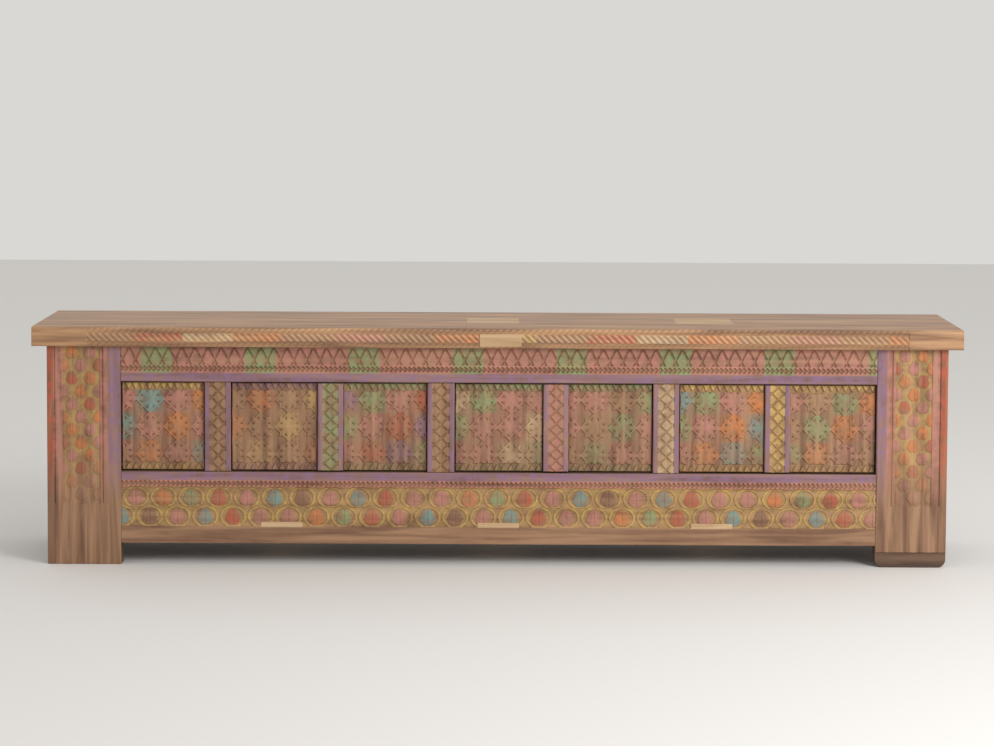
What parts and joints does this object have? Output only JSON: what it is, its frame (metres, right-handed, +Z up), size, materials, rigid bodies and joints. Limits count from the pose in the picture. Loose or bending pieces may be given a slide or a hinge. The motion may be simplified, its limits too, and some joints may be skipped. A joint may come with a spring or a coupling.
{
  "type": "low cabinet",
  "caption": "Long low wooden cabinet with a plank top, broad front posts and small doors that turn on wooden pins.",
  "frame": {"origin": "middle of the footprint, on the floor", "axes": "+X to the right along the front, +Y to the back, +Z up"},
  "size_m": [2.4, 0.4, 0.62],
  "materials": {
    "carved_wood": "worn painted carving",
    "painted_wood": "worn paint",
    "dark_wood": "aged",
    "pale_wood": "bare",
    "top_wood": "waxed"
  },
  "bodies": {
    "carcass": {"front_top_rail": "painted_wood", "front_bottom_rail": "painted_wood", "front_post_left": "carved_wood", "front_post_right": "carved_wood", "fixed_stile_left": "painted_wood", "fixed_stile_middle": "painted_wood", "fixed_stile_right": "painted_wood", "foot_block_right": "carved_wood", "foot_patch_left": "dark_wood", "side_top_rail_left": "dark_wood", "side_top_rail_right": "dark_wood", "side_bottom_rail_left": "dark_wood", "side_bottom_rail_right": "dark_wood", "side_panel_left": "dark_wood", "side_panel_right": "dark_wood", "rear_post_left": "dark_wood", "rear_post_right": "dark_wood", "rear_top_rail": "dark_wood", "rear_bottom_rail": "dark_wood", "back_board_lower": "dark_wood", "back_board_upper": "dark_wood", "floor_bearer_left": "pale_wood", "floor_bearer_middle": "pale_wood", "floor_bearer_right": "pale_wood", "floor_board_1": "pale_wood", "floor_board_2": "pale_wood", "floor_board_3": "pale_wood", "top_plank_front": "top_wood", "top_edge_patch": "pale_wood", "top_strip_board_1": "top_wood", "top_strip_board_2": "pale_wood", "top_strip_board_3": "top_wood", "top_strip_board_4": "pale_wood", "top_strip_board_5": "top_wood", "top_plank_back": "top_wood"},
    "leaf_1": {"door_1": "carved_wood"},
    "leaf_2": {"door_2": "carved_wood"},
    "leaf_3": {"door_3": "carved_wood", "door_3_board": "carved_wood", "door_3_stile": "painted_wood", "door_3_ledge_lower": "dark_wood", "door_3_ledge_upper": "dark_wood"},
    "leaf_4": {"door_4": "carved_wood"},
    "leaf_5": {"door_5": "carved_wood", "door_5_stile": "painted_wood", "door_5_ledge_lower": "dark_wood", "door_5_ledge_upper": "dark_wood"},
    "leaf_6": {"door_6": "carved_wood"},
    "leaf_7": {"door_7": "carved_wood", "door_7_board": "carved_wood", "door_7_stile": "painted_wood", "door_7_ledge_lower": "dark_wood", "door_7_ledge_upper": "dark_wood"}
  },
  "joints": [
    {"name": "door_1_hinge", "type": "hinge", "parent": "carcass", "child": "leaf_1", "pos_m": [-0.96, -0.158, 0.36], "axis": [0, 0, -1], "range_deg": [0, 95]},
    {"name": "door_2_hinge", "type": "hinge", "parent": "carcass", "child": "leaf_2", "pos_m": [-0.676, -0.158, 0.36], "axis": [0, 0, -1], "range_deg": [0, 95]},
    {"name": "door_3_hinge", "type": "hinge", "parent": "carcass", "child": "leaf_3", "pos_m": [-0.195, -0.158, 0.36], "axis": [0, 0, 1], "range_deg": [0, 95]},
    {"name": "door_4_hinge", "type": "hinge", "parent": "carcass", "child": "leaf_4", "pos_m": [-0.097, -0.158, 0.36], "axis": [0, 0, -1], "range_deg": [0, 95]},
    {"name": "door_5_hinge", "type": "hinge", "parent": "carcass", "child": "leaf_5", "pos_m": [0.389, -0.158, 0.36], "axis": [0, 0, 1], "range_deg": [0, 95]},
    {"name": "door_6_hinge", "type": "hinge", "parent": "carcass", "child": "leaf_6", "pos_m": [0.484, -0.158, 0.36], "axis": [0, 0, -1], "range_deg": [0, 95]},
    {"name": "door_7_hinge", "type": "hinge", "parent": "carcass", "child": "leaf_7", "pos_m": [0.967, -0.158, 0.36], "axis": [0, 0, 1], "range_deg": [0, 95]}
  ]
}
